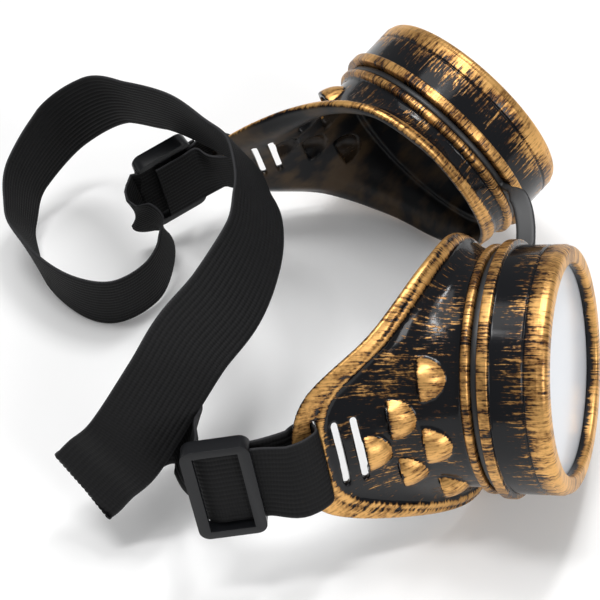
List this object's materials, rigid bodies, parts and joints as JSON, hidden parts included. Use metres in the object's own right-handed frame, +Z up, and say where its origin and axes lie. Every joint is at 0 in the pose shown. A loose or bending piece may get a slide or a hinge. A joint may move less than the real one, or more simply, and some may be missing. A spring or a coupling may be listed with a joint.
{
  "type": "steampunk goggles",
  "caption": "Round-lens goggles with brushed gold cups, screw-on lens rings, rubber nose bridge, vent domes and an adjustable elastic headband, lying folded on a table.",
  "frame": {"origin": "centre of the bounding box, on the table", "axes": "+Z up from the table; the lenses face +X, the headband trails to -X; near and far are the cups as the picture shows them, near at -Y"},
  "size_m": [0.1512, 0.1405, 0.0675],
  "materials": {
    "antique_gold": "brushed gold paint rubbed over black plastic",
    "clear_lens": "clear, polished",
    "black_rubber": "matt",
    "black_plastic": "satin",
    "elastic_webbing": "ribbed elastic webbing"
  },
  "bodies": {
    "near_cup": {"near_cup": "antique_gold", "headband_strap": "elastic_webbing"},
    "near_lens_stack": {"near_lens": "clear_lens", "near_lens_gasket": "black_rubber"},
    "near_lens_ring": {"near_lens_ring": "antique_gold"},
    "near_strap_slider": {"near_strap_slider": "black_plastic"},
    "nose_bridge": {"nose_bridge": "black_rubber"},
    "far_cup": {"far_cup": "antique_gold"},
    "far_lens_stack": {"far_lens": "clear_lens", "far_lens_gasket": "black_rubber"},
    "far_lens_ring": {"far_lens_ring": "antique_gold"},
    "far_strap_slider": {"far_strap_slider": "black_plastic"}
  },
  "joints": [
    {"name": "near_ring_lift", "type": "slide", "parent": "near_cup", "child": "near_lens_stack", "axis": [0.9291, -0.2368, 0.284], "range_m": [0, 0.006]},
    {"name": "near_ring_screw", "type": "hinge", "parent": "near_lens_stack", "child": "near_lens_ring", "pos_m": [0.0499, -0.0331, 0.0347], "axis": [0.9291, -0.2368, 0.284], "range_deg": [0, 1080]},
    {"name": "near_slider_travel", "type": "slide", "parent": "near_cup", "child": "near_strap_slider", "axis": [-0.9848, -0.0456, -0.1678], "range_m": [-0.0025, 0]},
    {"name": "bridge_flex", "type": "hinge", "parent": "near_cup", "child": "nose_bridge", "pos_m": [0.05755, 0.00622, 0.04333], "axis": [0.3261, 0.1625, -0.9313], "range_deg": [-5, 55], "deforming": ["nose_bridge", "headband_strap"]},
    {"name": "far_cup_turn", "type": "hinge", "parent": "nose_bridge", "child": "far_cup", "pos_m": [0.0359, 0.0379, 0.0352], "axis": [0.6783, 0.6459, 0.3502], "range_deg": [-20, 20], "deforming": ["headband_strap"]},
    {"name": "far_ring_lift", "type": "slide", "parent": "far_cup", "child": "far_lens_stack", "axis": [0.6783, 0.6459, 0.3502], "range_m": [0, 0.006]},
    {"name": "far_ring_screw", "type": "hinge", "parent": "far_lens_stack", "child": "far_lens_ring", "pos_m": [0.0359, 0.0379, 0.0352], "axis": [0.6783, 0.6459, 0.3502], "range_deg": [0, 1080]},
    {"name": "far_slider_travel", "type": "slide", "parent": "far_cup", "child": "far_strap_slider", "axis": [-0.8428, -0.5074, -0.1794], "range_m": [-0.0015, 0]}
  ],
  "couplings": [
    {"joint": "near_ring_lift", "follows": "near_ring_screw", "m_per_rad": 0.000318},
    {"joint": "far_ring_lift", "follows": "far_ring_screw", "m_per_rad": 0.000318}
  ]
}
